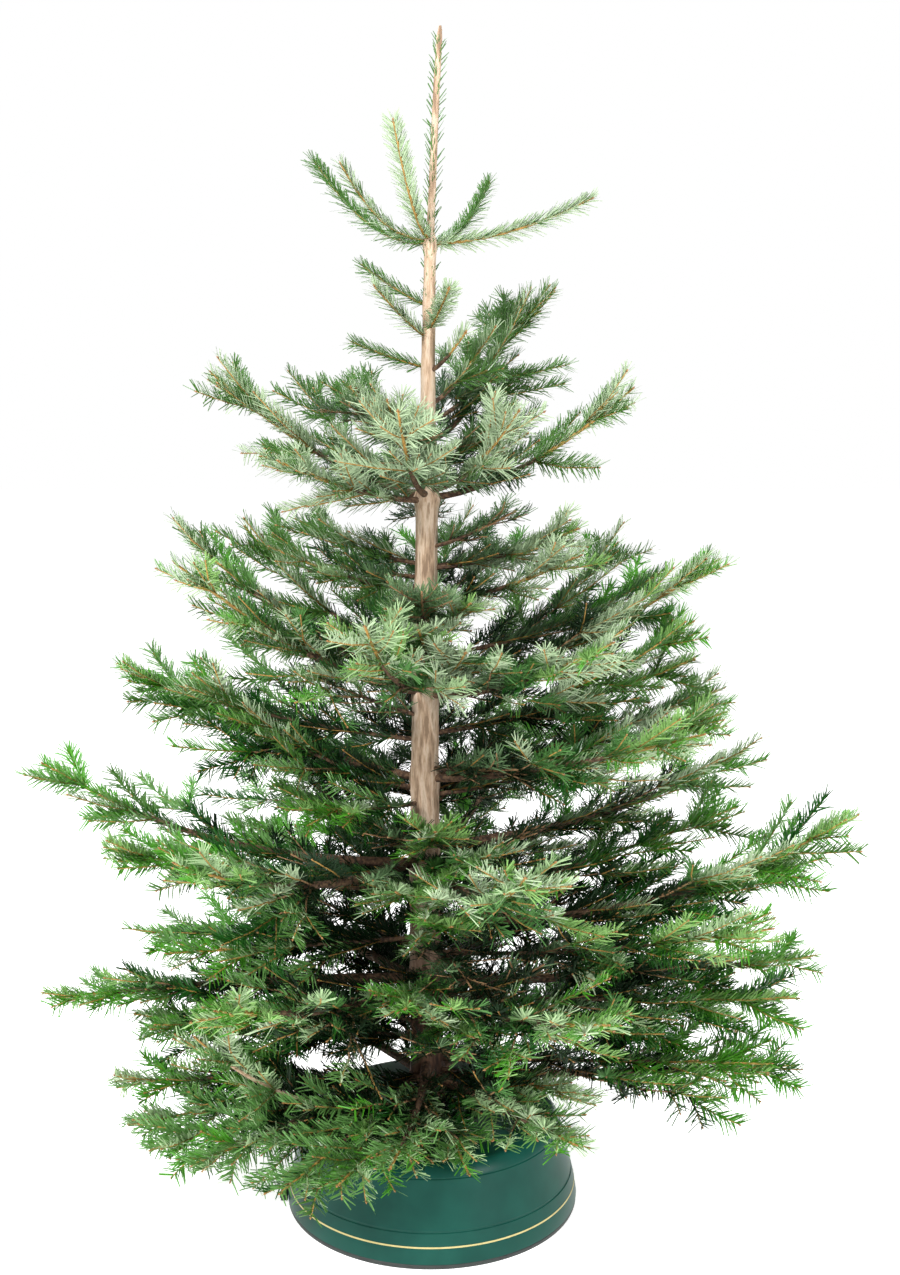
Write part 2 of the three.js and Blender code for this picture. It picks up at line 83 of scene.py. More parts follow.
def add_node(tree, kind, settings, **links):
    """Adds a node with its settings and with links from other nodes' sockets. The setting
    called stops holds the places and hex colours of a ramp."""
    node = tree.nodes.new(kind)
    for name, value in settings.items():
        if name != "stops":
            node.inputs[name].default_value = value
            continue
        while len(node.color_ramp.elements) < len(value):
            node.color_ramp.elements.new(1)
        for element, (position, colour) in zip(node.color_ramp.elements, value):
            element.position = position
            element.color = linear(colour)
    for name, source in links.items():
        tree.links.new(source, node.inputs[name])
    return node


def show(name, mesh, materials, nodes):
    """Puts a finished mesh in the scene as a piece that stands for CAD nodes."""
    piece = bpy.data.objects.new(name, mesh)
    bpy.context.scene.collection.objects.link(piece)
    for material in materials:
        mesh.materials.append(material)
    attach(piece, "root")
    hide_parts(*nodes)
    return piece


def to_mesh(name, bm):
    """Turns a bmesh into a smooth mesh that keeps its sharp edges."""
    for face in bm.faces:
        face.smooth = True
    for edge in bm.edges:
        edge.smooth = edge.calc_face_angle(0) < SHARP
    mesh = bpy.data.meshes.new(name)
    bm.to_mesh(mesh)
    bm.free()
    return mesh


def turned(profile, steps):
    """A closed body turned about Z from a closed profile of radius and height in mm."""
    bm = bmesh.new()
    corners = [bm.verts.new((radius * MM, 0, height * MM)) for radius, height in profile]
    edges = [bm.edges.new((corners[i - 1], corners[i])) for i in range(len(corners))]
    bmesh.ops.spin(bm, geom=corners + edges, cent=(0, 0, 0), axis=(0, 0, 1),
                   angle=math.tau, steps=steps, use_merge=True)
    bmesh.ops.remove_doubles(bm, verts=bm.verts, dist=WELD)
    bmesh.ops.dissolve_degenerate(bm, edges=bm.edges, dist=WELD)
    bmesh.ops.recalc_face_normals(bm, faces=bm.faces)
    return bm


# Polypropylene: satin from the mould, with a faint cloudiness and fine scuffs from cellars.
green_plastic = new_material("moulded green polypropylene", Roughness=0.36, IOR=1.49,
                             Specular_IOR_Level=0.17)
tree = green_plastic.node_tree
surface = tree.nodes["Principled BSDF"]
place = add_node(tree, "ShaderNodeTexCoord", {})
clouds = add_node(tree, "ShaderNodeTexNoise", {"Scale": 1 / CLOUD_SIZE, "Detail": 5.0},
                  Vector=place.outputs["Object"])
tone = add_node(tree, "ShaderNodeValToRGB",
                {"stops": [(0.35, GREEN_PLASTIC), (0.75, GREEN_PLASTIC_WORN)]},
                Fac=clouds.outputs["Fac"])
grain = add_node(tree, "ShaderNodeTexNoise", {"Scale": 1 / MOULDED_GRAIN, "Detail": 2.0},
                 Vector=place.outputs["Object"])
bump = add_node(tree, "ShaderNodeBump", {"Strength": 0.12, "Distance": MOULDED_RELIEF},
                Height=grain.outputs["Fac"])
tree.links.new(tone.outputs["Color"], surface.inputs["Base Color"])
tree.links.new(bump.outputs["Normal"], surface.inputs["Normal"])

skirt = to_mesh("stand skirt", turned(SKIRT_OUTSIDE + SKIRT_INSIDE, SKIRT_STEPS))
show("stand_skirt", skirt, [green_plastic], ["stand_shell"])


# Gold line: a pinstripe hot-stamped in pale gold foil round the foot band of the skirt.
# The foil lies on the wall and stands a hair proud of it.

LINE_HEIGHT = 30
LINE_WIDTH = 2.2
LINE_PROUD = 0.25
GOLD_FOIL = "#CDBE86"
GOLD_FOIL_WORN = "#B7A76E"
WORN_PATCH = 9 * MM


def wall_radius(height):
    """Radius of the skirt's outside at a height up the foot band."""
    (low_radius, low), (high_radius, high) = SKIRT_OUTSIDE[1], SKIRT_OUTSIDE[2]
    return low_radius + (high_radius - low_radius) * (height - low) / (high - low)


def mottled(name, patch, detail, stops, relief=None, **shader):
    """A material whose colour wanders between the stops in patches of a size, which may
    stand out by a relief of a strength and a depth."""
    material = new_material(name, **shader)
    tree = material.node_tree
    surface = tree.nodes["Principled BSDF"]
    place = add_node(tree, "ShaderNodeTexCoord", {})
    patches = add_node(tree, "ShaderNodeTexNoise", {"Scale": 1 / patch, "Detail": detail},
                       Vector=place.outputs["Object"])
    tone = add_node(tree, "ShaderNodeValToRGB", {"stops": stops}, Fac=patches.outputs["Fac"])
    tree.links.new(tone.outputs["Color"], surface.inputs["Base Color"])
    if relief:
        strength, depth = relief
        bump = add_node(tree, "ShaderNodeBump", {"Strength": strength, "Distance": depth},
                        Height=patches.outputs["Fac"])
        tree.links.new(bump.outputs["Normal"], surface.inputs["Normal"])
    return material


# Hot-stamping foil: a thin lacquered metal film, pale and only softly shiny.
gold_foil = mottled("pale gold stamping foil", WORN_PATCH, 3.0,
                    [(0.3, GOLD_FOIL), (0.8, GOLD_FOIL_WORN)], Metallic=0.35, Roughness=0.45)

band = [(wall_radius(LINE_HEIGHT + side * LINE_WIDTH / 2) + proud,
         LINE_HEIGHT + side * LINE_WIDTH / 2)
        for side, proud in ((-1, -LINE_PROUD), (-1, LINE_PROUD), (1, LINE_PROUD), (1, -LINE_PROUD))]
gold_line = bpy.data.objects.new("stand_line", to_mesh("gold line", turned(band, SKIRT_STEPS)))
bpy.context.scene.collection.objects.link(gold_line)
gold_line.data.materials.append(gold_foil)
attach(gold_line, "root")


# Base, clamp and foot lever: black glass-filled nylon. The base closes the stand below with
# a foot rim, the clamp ring hangs in the mouth with five jaws that grip the trunk, and the
# lever that tightens them lies round the rear left of the skirt.

BASE_PROFILE = [
    (0, 0), (208, 0), (210.4, 0.6), (211, 2), (211, 5.6), (210.2, 6.8), (205, 7),
    (204, 5), (62, 5), (61, 11), (59, 12), (0, 12),
]
CLAMP_PROFILE = [(58, 99), (59, 98), (74, 98), (75.7, 100), (75.7, 124), (74, 126), (59, 126),
                 (58, 125)]
JAW_COUNT = 5
JAW_FROM = 18
JAW_SIZE = (44, 22, 18)
JAW_MIDDLE = (38, 113)
JAW_BEVEL, LEVER_BEVEL = 2, 1.6
LEVER_FROM, LEVER_TO = 152, 188
LEVER_INSIDE = 211.9
LEVER_WIDTH = 10.6
LEVER_LOW, LEVER_HIGH = 1.6, 9.8
LEVER_STEPS = 24
BLACK_NYLON = "#1B201F"
SCUFFED_NYLON = "#2C3331"
SCUFF_PATCH = 14 * MM

# Glass-filled nylon: dull and slightly mottled, greyer where it has been scuffed.
black_nylon = mottled("glass-filled black nylon", SCUFF_PATCH, 6.0,
                      [(0.3, BLACK_NYLON), (0.8, SCUFFED_NYLON)], relief=(0.25, 0.2 * MM),
                      Roughness=0.58, IOR=1.53)

base = to_mesh("stand base", turned(BASE_PROFILE, SKIRT_STEPS))
show("stand_foot", base, [black_nylon], ["stand_base"])

bm = turned(CLAMP_PROFILE, SKIRT_STEPS)
for number in range(JAW_COUNT):
    turn = Matrix.Rotation(math.radians(JAW_FROM + 360 * number / JAW_COUNT), 4, "Z")
    shift = Matrix.Translation((JAW_MIDDLE[0] * MM, 0, JAW_MIDDLE[1] * MM))
    size = Matrix.Diagonal([edge * MM for edge in JAW_SIZE] + [1])
    jaw = bmesh.ops.create_cube(bm, size=1, matrix=turn @ shift @ size)
    edges = list({edge for vert in jaw["verts"] for edge in vert.link_edges})
    bmesh.ops.bevel(bm, geom=edges, offset=JAW_BEVEL * MM, segments=2, profile=0.5,
                    affect="EDGES", material=-1)
show("stand_clamp_jaws", to_mesh("clamp", bm), [black_nylon], ["stand_clamp"])

bm = bmesh.new()
section = [(LEVER_INSIDE, LEVER_LOW), (LEVER_INSIDE + LEVER_WIDTH, LEVER_LOW),
           (LEVER_INSIDE + LEVER_WIDTH, LEVER_HIGH), (LEVER_INSIDE, LEVER_HIGH)]
start = Matrix.Rotation(math.radians(LEVER_FROM), 3, "Z")
corners = [bm.verts.new(start @ Vector((radius * MM, 0, height * MM)))
           for radius, height in section]
end = bm.faces.new(corners)
bmesh.ops.spin(bm, geom=[end], cent=(0, 0, 0), axis=(0, 0, 1),
               angle=math.radians(LEVER_TO - LEVER_FROM), steps=LEVER_STEPS)
bmesh.ops.recalc_face_normals(bm, faces=bm.faces)
long_edges = [edge for edge in bm.edges if edge.calc_face_angle(0) > SHARP]
bmesh.ops.bevel(bm, geom=long_edges, offset=LEVER_BEVEL * MM, segments=2, profile=0.5,
                affect="EDGES", material=-1)
show("stand_lever", to_mesh("foot lever", bm), [black_nylon], ["stand_pedal"])


# Trunk: one fir stem from the flat cut inside the stand to the tip of the leader. It swells
# at each whorl where the boughs leave it, and the bark is thin, smooth on the young wood and
# finely cracked towards the foot. It is darker towards the foot, partly as older bark and
# partly as painted shade of the dense lower crown.

# Stations as in the solid trunk: height, radius, lean along X and lean along Y.
TRUNK = [
    (12.3, 26, 0, 0), (60, 25.5, -2, 1), (176, 24, -7, 3), (310, 22.8, -9, 4),
    (420, 21.6, -10, 5), (500, 21.4, -10, 5), (625, 20, -9.5, 4), (740, 18.6, -8.5, 2),
    (766, 17, -8, 2), (884, 15.8, -7.5, 1), (1008, 15.6, -6, 0), (1022, 17.5, -6, 0),
    (1040, 12.6, -5.5, 0), (1166, 10.2, -4, 0), (1240, 8.8, -3, 1), (1352, 8, -1, 2),
    (1366, 9.5, -1, 2), (1380, 5.4, -0.5, 2), (1550, 4.6, 7, 2), (1636, 4, 12, 2),
    (1650, 2, 13, 2),
]
TRUNK_TOP = TRUNK[-1][0]
TRUNK_SIDES = 40
TRUNK_STEP = 6
COLLAR_RISE = 3.4  # how far the wood swells round the root of a bough
COLLAR_SPAN = 13
COLLAR_SHAPE = (1, 1, 0.8)  # the swelling is taller than it is wide
FULL_ROOT = 8  # a bough of this radius has the whole swelling, and a thinner one less
SMOOTH_TOP, ROUGH_RUN = 150, 900  # the bark gets rougher down this run of the stem
LEAST_ROUGH = 0.15
RIDGE = 0.9  # depth of the lengthwise ridges of the bark
RIDGE_GRAIN = (0.12, 0.12, 0.012)  # ridges and blisters to the millimetre
RIDGE_OCTAVES = (1.0, 2.1, 4)
BLISTER = 1.65  # height of the resin blisters
BLISTER_GRAIN = (0.09, 0.09, 0.16)
BLISTER_SHIFT = Vector((7, 3, 1))
BLISTER_FROM = 0.25  # only the peaks of the grain rise as blisters
STREAK = 9 * MM
STREAK_STRETCH = 0.16
CRACK, CRACK_DEPTH = 2.5 * MM, 1.0 * MM
OLD_AND_SHADED_UNTIL, YOUNG_FROM = 0.28, 0.62  # heights in metres between which the bark changes from the dark foot colour, partly painted shade, to the young bark
YOUNG_BARK = [(0.38, "#8C735C"), (0.47, "#BB9E83"), (0.56, "#D3BDA6"), (0.68, "#9A8067")]
# Bark of the foot: older and darker, and darkened further as painted shade under the lower crown.
OLD_AND_SHADED_BARK = [(0.36, "#2A1B13"), (0.47, "#4C3426"), (0.57, "#6C4E3A"), (0.7, "#3E2A1E")]
UP = np.array([0.0, 0.0, 1.0])

# Whorls from the leader down, as in the solid tree but for a few tips that lie higher: height
# in mm, years of growth, the power of the upturn, how many boughs start as bare limbs, the bare
# share of those, and the radius at the root. Each bough is a row of heading in degrees, reach,
# rise, and how far above the whorl it roots.
TIERS = [
    {"height": 1366, "years": 1, "curl": 2.1, "limbs": 0, "green": 0.08, "root": 2.6, "rows": [
        (350, 222, 56, 0), (62, 181, 108, 3), (150, 194, 131, 0), (205, 132, 98, 4),
        (245, 112, 146, 6)]},
    {"height": 1240, "years": 1, "curl": 1.2, "limbs": 0, "green": 0.1, "root": 2.2, "rows": [
        (168, 97, 59, 43), (215, 90, 68, 0), (285, 111, 47, 12), (188, 107, 35, -40)]},
    {"height": 1023, "years": 2, "curl": 1.7, "limbs": 0, "green": 0.14, "root": 5, "rows": [
        (2, 293, 157, 0), (56, 240, 215, 80), (128, 310, 170, 0), (183, 303, 174, 4),
        (218, 248, 60, -4), (262, 235, 118, 4), (315, 180, 117, 10)]},
    {"height": 884, "years": 2, "curl": 1.5, "limbs": 0, "green": 0.2, "root": 4, "rows": [
        (82, 260, 90, 0), (200, 230, 70, 10), (328, 250, 80, -8)]},
    {"height": 751, "years": 3, "curl": 1.6, "limbs": 0, "green": 0.18, "root": 6.4, "rows": [
        (5, 426, 188, 0), (42, 410, 190, 6), (105, 400, 170, 0), (165, 380, 222, 6),
        (212, 380, 205, 0), (258, 330, 130, 6), (312, 360, 112, -4)]},
    {"height": 625, "years": 3, "curl": 1.6, "limbs": 0, "green": 0.24, "root": 6, "rows": [
        (175, 451, 161, 0), (15, 469, 112, 0), (92, 400, 130, 6), (328, 430, 110, 0)]},
    {"height": 500, "years": 4, "curl": 2.4, "limbs": 3, "green": 0.26, "root": 7.6, "rows": [
        (178, 558, 146, 0), (352, 610, 180, -84), (24, 560, 100, 22), (72, 560, 130, 0),
        (124, 570, 130, 6), (232, 480, 105, 6), (284, 500, 125, 0)]},
    {"height": 320, "years": 5, "curl": 1.8, "limbs": 2, "green": 0.26, "root": 8.2, "rows": [
        (8, 590, 10, 0), (182, 549, -25, 8), (66, 560, 40, 8), (124, 580, 40, 0),
        (236, 450, 105, 0), (298, 480, 100, 8)]},
    {"height": 176, "years": 5, "curl": 1.5, "limbs": 0, "green": 0.24, "root": 7.8, "rows": [
        (356, 540, 30, 6), (55, 490, 20, 0), (125, 500, 20, 6), (186, 455, 15, 0),
        (222, 410, -10, 10), (262, 320, -15, 30), (302, 370, 40, 8)]},
]


def trunk_at(height):
    """Centre and radius of the trunk at a height, in mm."""
    heights = [row[0] for row in TRUNK]
    radius, x, y = (np.interp(height, heights, [row[i] for row in TRUNK]) for i in (1, 2, 3))
    return np.array([x, y, height]), radius


def heading_of(degrees):
    """The level direction at an angle from +X towards +Y."""
    return np.array([math.cos(math.radians(degrees)), math.sin(math.radians(degrees)), 0.0])


BOUGH_ROOTS = [
    (trunk_at(tier["height"] + above)[0]
     + trunk_at(tier["height"] + above)[1] * heading_of(heading), tier["root"])
    for tier in TIERS for heading, _, _, above in tier["rows"]]
COLLAR_POINTS = np.array([point for point, _ in BOUGH_ROOTS])
COLLAR_SIZES = np.array([root for _, root in BOUGH_ROOTS]) / FULL_ROOT


def bark_relief(point):
    """How far the bark stands out at a point of the trunk: collars, ridges and blisters."""
    away = np.linalg.norm((COLLAR_POINTS - point) * COLLAR_SHAPE, axis=1) / COLLAR_SPAN
    collar = COLLAR_RISE * float((COLLAR_SIZES * np.exp(-away ** 2)).max())
    rough = min(1.0, max(LEAST_ROUGH, (TRUNK_TOP - SMOOTH_TOP - point[2]) / ROUGH_RUN))
    ridge = noise.fractal(Vector(point * RIDGE_GRAIN), *RIDGE_OCTAVES)
    blister = noise.noise(Vector(point * BLISTER_GRAIN) + BLISTER_SHIFT) - BLISTER_FROM
    return collar + rough * (RIDGE * ridge + BLISTER * max(0.0, blister))


def unit(vector):
    return vector / np.linalg.norm(vector)


def add_limb(bm, stations, sides, bark=0):
    """Adds a closed limb through stations, each a point, a radius and the way it runs. Its
    faces take the number of its bark."""
    bmesh.ops.create_circle(bm, cap_ends=True, segments=sides, radius=1)
    bm.faces.ensure_lookup_table()
    end = bm.faces[-1]
    end.material_index = bark
    flat = [vert.co.copy() for vert in end.verts]
    for step, (point, radius, along) in enumerate(stations):
        if step:
            inner = end
            grown = bmesh.ops.extrude_face_region(bm, geom=[inner])["geom"]
            end = next(part for part in grown if isinstance(part, bmesh.types.BMFace))
            if step > 1:
                bmesh.ops.delete(bm, geom=[inner], context="FACES_ONLY")
        turn = Vector(UP).rotation_difference(Vector(along)).to_matrix()
        for vert, corner in zip(end.verts, flat):
            vert.co = (Vector(point) + turn @ (corner * radius)) * MM


# Fir bark: beige and smooth on the upper stem, browner and cracked towards the foot, with
# lengthwise streaks and pale resin blisters. The darkness towards the foot is partly older
# bark and partly painted shade under the lower crown.
trunk_bark = new_material("fir bark of the stem", Roughness=0.82)
tree = trunk_bark.node_tree
surface = tree.nodes["Principled BSDF"]
place = add_node(tree, "ShaderNodeTexCoord", {})
stretched = add_node(tree, "ShaderNodeMapping", {"Scale": (1, 1, STREAK_STRETCH)},
                     Vector=place.outputs["Object"])
streaks = add_node(tree, "ShaderNodeTexNoise",
                   {"Scale": 1 / STREAK, "Detail": 6.0, "Roughness": 0.62},
                   Vector=stretched.outputs["Vector"])
young = add_node(tree, "ShaderNodeValToRGB", {"stops": YOUNG_BARK}, Fac=streaks.outputs["Fac"])
# Ramp of the dark foot bark, partly painted shade.
old = add_node(tree, "ShaderNodeValToRGB", {"stops": OLD_AND_SHADED_BARK}, Fac=streaks.outputs["Fac"])
split = add_node(tree, "ShaderNodeSeparateXYZ", {}, Vector=place.outputs["Object"])
height_share = add_node(tree, "ShaderNodeMapRange",
                        {"From Min": OLD_AND_SHADED_UNTIL, "From Max": YOUNG_FROM},
                        Value=split.outputs["Z"])
mixed = add_node(tree, "ShaderNodeMixRGB", {}, Fac=height_share.outputs["Result"],
                 Color1=old.outputs["Color"], Color2=young.outputs["Color"])
cracks = add_node(tree, "ShaderNodeTexNoise", {"Scale": 1 / CRACK, "Detail": 4.0},
                  Vector=stretched.outputs["Vector"])
bump = add_node(tree, "ShaderNodeBump", {"Strength": 0.5, "Distance": CRACK_DEPTH},
                Height=cracks.outputs["Fac"])
tree.links.new(mixed.outputs["Color"], surface.inputs["Base Color"])
tree.links.new(bump.outputs["Normal"], surface.inputs["Normal"])

heights = np.append(np.arange(TRUNK[0][0], TRUNK_TOP, TRUNK_STEP), TRUNK_TOP)
bm = bmesh.new()
add_limb(bm, [(*trunk_at(height), UP) for height in heights], TRUNK_SIDES)
for vert in bm.verts:
    point = np.array(vert.co) / MM
    out = point - trunk_at(point[2])[0]
    vert.co += Vector(unit(out)) * bark_relief(point) * MM
bmesh.ops.recalc_face_normals(bm, faces=bm.faces)
show("stem", to_mesh("stem", bm), [trunk_bark], ["trunk"])


# Boughs: the living limbs of brown fir wood, each one tapering piece from its collar on the
# trunk to last year's node, where this year's shoot takes over. They leave the trunk in whorls
# of one year each, with thinner ones between, and turn up at the tip.

SUNK_IN = 0.6  # of the trunk's radius, where a bough starts
SWAY = 0.035
CURL_PLAY = 0.2
FROND_AT = 0.6
ROLL = 14
LINE_STEPS = 12
NEARBY = 0.01
LIMB_SIDES = 7
LIMB_STEP = 16
LEAST_STATIONS = 4
LIMB_LAP = 0.015  # the wood runs this far into the young shoot at its end
TIP_RADIUS = 1.5
TAPER = 0.85
KNOT, KNOT_GRAIN = 0.12, 0.05
BARK_PATCH = 5 * MM
KEY_WAVE, DRAW_WAVE, WAVE_SIZE = 12.9898, 78.233, 43758.5453  # of the seeded rule
BOUGH_BARK = [(0.32, "#2E2016"), (0.48, "#4E3828"), (0.62, "#70563F"), (0.8, "#422E20")]
PALE_BARK = [(0.36, "#A08066"), (0.5, "#CFAE92"), (0.64, "#E0C6AC")]
# Height on the stem, heading, reach and rise of the boughs between the whorls.
BETWEEN_ROWS = [
    (1195, 320, 75, 60), (1150, 20, 95, 105), (1085, 200, 120, 95), (1065, 250, 150, 95),
    (1080, 150, 140, 110), (1130, 55, 260, 190), (1060, 35, 140, 100), (925, 45, 250, 30),
    (925, 350, 220, 60), (930, 150, 230, 60), (690, 0, 385, 165), (600, 355, 430, 130),
    (680, 172, 440, 85), (610, 190, 330, 180), (600, 55, 340, 50), (590, 125, 340, 40),
    (590, 222, 250, 30), (450, 12, 485, 110), (400, 356, 570, 120), (370, 335, 510, 105),
    (390, 200, 380, 20), (380, 160, 470, -40), (250, 5, 470, 30), (240, 175, 440, 20),
    (170, 192, 435, -25), (178, 206, 420, -26), (195, 240, 370, -34), (176, 250, 330, -10),
    (176, 285, 235, -40), (185, 318, 250, -20), (860, 262, 150, 50), (835, 292, 170, 60),
    (800, 268, 200, 65), (768, 285, 215, 70), (540, 275, 200, 60), (505, 292, 240, 70),
    (470, 262, 240, 60), (430, 280, 230, 50), (350, 265, 260, 30), (300, 285, 260, 40),
    (440, 80, 430, 60), (440, 112, 430, 60), (470, 45, 380, 40), (440, 135, 400, 50),
    (205, 350, 500, 30), (195, 332, 260, 8), (300, 190, 400, -20), (300, 355, 540, 15),
    (235, 172, 210, 5), (270, 75, 300, 30), (285, 108, 300, 30), (400, 92, 300, 30),
    (800, 170, 270, 189), (800, 25, 395, 105), (690, 8, 400, 100), (460, 192, 455, 90),
]
BETWEEN = {"curl": 1.5, "green": 0.2, "root": 3.6}
BETWEEN_YEARS, LONG_REACH = [2, 3], 300  # years of the shorter ones and of those that reach past
BARE_HEIGHT, BARE_ROW = 150, (212, 370, 177)
BARE = {"years": 3, "curl": 2.2, "green": 0.3, "root": 5.8}
BARE_UNTIL, BARE_TO = 0.6, 0.9  # where its twigs start and where its pale bark ends
GOLDEN_ANGLE = 137.5
INNER = {"years": 2, "curl": 1.3, "green": 0.2, "root": 3.2}
INNER_COUNT = 31
INNER_LOW = 1.5  # more of them stand low on the stem
INNER_FROM, INNER_TO = 215, 1130
INNER_LEAST = 90
INNER_REACH = 0.1  # of the height left to the top
INNER_TURN, INNER_PLAY, INNER_RISE = 20, 0.2, 0.3
# Heights at which the stem shows, and the front, where no short bough may then stand.
STEM_SHOWS = [(560, 640), (695, 745), (890, 1015)]
FRONT_FROM, FRONT_TO = 215, 325


def chance(key, draw):
    """A repeatable number from 0 to 1 for a key and a draw, as in the solid tree. Each use of
    it has a draw of its own."""
    wave = math.sin(key * KEY_WAVE + draw * DRAW_WAVE) * WAVE_SIZE
    return wave - math.floor(wave)


def play(key, draw, size):
    """The same as a number from -size to +size."""
    return (2 * chance(key, draw) - 1) * size


def rolled(vector, axis, degrees):
    """A vector turned about an axis."""
    angle = math.radians(degrees)
    return (vector * math.cos(angle) + np.cross(axis, vector) * math.sin(angle)
            + axis * (axis @ vector) * (1 - math.cos(angle)))


class Bough:
    """One bough: its whorl, its key in the seeded rule and its line from trunk to tip."""

    def __init__(self, tier, level, row, key, start=0, inner=False):
        heading, self.reach, self.rise, above = row
        self.inner = inner
        self.tier, self.level, self.key, self.start = tier, level, key, start
        self.out = heading_of(heading)
        self.side = np.cross(UP, self.out)
        self.root, radius = trunk_at(tier["height"] + above)
        self.inside = radius / self.reach * SUNK_IN
        self.sway = play(key, 1, SWAY) * self.reach
        self.curl = tier["curl"] + play(key, 2, CURL_PLAY)
        self.marks = [self.at(i / LINE_STEPS) for i in range(LINE_STEPS + 1)]

    def at(self, share):
        """The point at a share of the way out."""
        return (self.root + self.out * self.reach * share + UP * self.rise * share ** self.curl
                + self.side * self.sway * math.sin(math.pi * share))

    def along(self, share):
        return unit(self.at(share + NEARBY) - self.at(max(0.0, share - NEARBY)))

    def upper_side(self):
        """The upper side of its frond, rolled a little about the bough."""
        along = self.along(FROND_AT)
        side = unit(np.cross(along, UP))
        return rolled(np.cross(side, along), along, play(self.key, 9, ROLL))

    def radius(self, share):
        """Thickness of the wood at a share of the way out."""
        return TIP_RADIUS + (self.tier["root"] - TIP_RADIUS) * (1 - share) ** TAPER


boughs = []
for level, tier in enumerate(TIERS):
    for number, row in enumerate(tier["rows"]):
        start = tier["green"] if number < tier["limbs"] else 0
        boughs.append(Bough(tier, level, row, len(boughs) + 1, start))


def add_bough(height, row, growth, **kind):
    """Adds a bough between the whorls, counted with the whorl that is nearest in height."""
    level = min(range(len(TIERS)), key=lambda i: abs(TIERS[i]["height"] - height))
    tier = {"height": height, **growth}
    boughs.append(Bough(tier, level, (*row, 0), len(boughs) + 1, **kind))


# Single boughs between the whorls that reach the rim of the crown.
for height, *row in BETWEEN_ROWS:
    add_bough(height, row, {"years": BETWEEN_YEARS[row[1] > LONG_REACH], **BETWEEN})

# One stout bough that climbs out of the mouth of the stand, bare and pale far out.
add_bough(BARE_HEIGHT, BARE_ROW, BARE, start=BARE_UNTIL)
bare_bough = boughs[-1]

# Thin short boughs all round the stem, in the shade of the crown.
for number in range(INNER_COUNT):
    height = INNER_FROM + (INNER_TO - INNER_FROM) * (number / (INNER_COUNT - 1)) ** INNER_LOW
    heading = number * GOLDEN_ANGLE + play(number, 60, INNER_TURN)
    shows = any(low < height < high for low, high in STEM_SHOWS)
    if shows and FRONT_FROM < heading % 360 < FRONT_TO:
        continue
    reach = INNER_LEAST + INNER_REACH * (TRUNK_TOP - height)
    reach *= 1 + play(number, 61, INNER_PLAY)
    rise = reach * (INNER_RISE + play(number, 62, INNER_RISE))
    add_bough(height, (heading, reach, rise), INNER, inner=True)

# Bark of the boughs: redder and rougher than the stem's, with paler patches at random.
bough_bark = mottled("fir bark of the boughs", BARK_PATCH, 5.0, BOUGH_BARK,
                     relief=(0.6, 0.8 * MM), Roughness=0.85)

# Rubbed bark: the same bark where it is worn thin, smooth and pale beige with pink in it.
bare_bark = mottled("rubbed pale bark", BARK_PATCH, 5.0, PALE_BARK, Roughness=0.8)

bm = bmesh.new()
for bough in boughs:
    years = bough.tier["years"]
    if years == 1:
        continue
    outside = BARE_TO if bough is bare_bough else 1 - 1 / years + LIMB_LAP
    count = max(LEAST_STATIONS, round(bough.reach * outside / LIMB_STEP))
    stations = []
    for share in np.linspace(bough.inside, outside, count):
        knot = 1 + KNOT * noise.noise(Vector(bough.at(share) * KNOT_GRAIN))
        stations.append((bough.at(share), bough.radius(share) * knot, bough.along(share)))
    add_limb(bm, stations, LIMB_SIDES, bark=int(bough is bare_bough))
bmesh.ops.recalc_face_normals(bm, faces=bm.faces)
limb_nodes = [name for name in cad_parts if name.startswith("bough_")]
show("boughs", to_mesh("boughs", bm), [bough_bark, bare_bark], limb_nodes)


# Twigs: each year a shoot ends in a bud and a pair of side buds, so every twig is a row of
# yearly shoots that forks at each year's node. The same seeded rule as in the solid tree,
# carried on to the shorter twigs between the nodes and at the rims of the fronds.

SPREAD = 50  # degrees between a side twig and its axis
SPREAD_PLAY = 7
SIDE_SHARE = [0.68, 0.6, 0.55]  # of what is left of the axis, for each order of side twig
GROWTH_PLAY = 0.12
TWIST = 19
SHORT_SHARE = 0.55
SHORT_AT = [0.27, 0.5, 0.76]  # where along a year's growth the finer short twigs stand
SHORT_KEPT = 0.62  # share of them that have grown
FINER_SHARE = 0.72
FINER_REACH = 0.9  # of what is left of the bough, which no side shoot outgrows
SHORT_SPREAD = 34
# Twigs that stand up or hang from a bough's nodes: their roll from the frond, their length,
# and how many of them have grown in the upper crown and in the lower.
LAYERS = [(30, 0.55, 0.5, 0.45), (-32, 0.6, 0.8, 1), (64, 0.38, 0.15, 0.1), (-72, 0.4, 0.2, 0.6)]
LAYER_SPREAD, LAYER_PLAY = 32, 12
LOWER_CROWN = 5  # the whorls from this one down, counted from 0 at the top
HANGS_LEFT_OF = 0.4  # the lowest boughs hang on the left and in front, not on the right
FINEST_TWIG = 42
REACH_LEFT = 9  # needles and buds stand out this far past the end of a shoot
TOP_LEFT = 4  # and this far on the short boughs of one year at the top
NODE_CLEAR = 0.05
FORWARD = 0.16
LIFT = 0.06
SHORTER = [1, 0.8, 0.62]
HEIGHT_WEIGHT = 2.2
ROOM = 90  # how far a fine twig may lace into the fronds next to its own
TRUNK_MARGIN = 9
STAND_RADIUS, STAND_CLEAR = 231, 146
FLOOR_CLEAR = 12
TWIG_KEY, LAYER_KEY = 13, 17  # a twig's key follows from its parent's, its fork and its side
AXIS_POINTS, SHOOT_POINTS = 7, 3
BOW, LEAST_BOW = 0.035, 0.6
TWIG_SIDES = 3
SHOOT_RADII = [0.9, 1.25, 1.8, 2.4, 3.0, 3.6]  # at the tip and at the foot of each year back
WRAP = 124  # degrees to which the needles reach round a shoot from its upper side
LEAN = 30  # degrees from the shoot at which the needles on its top stand
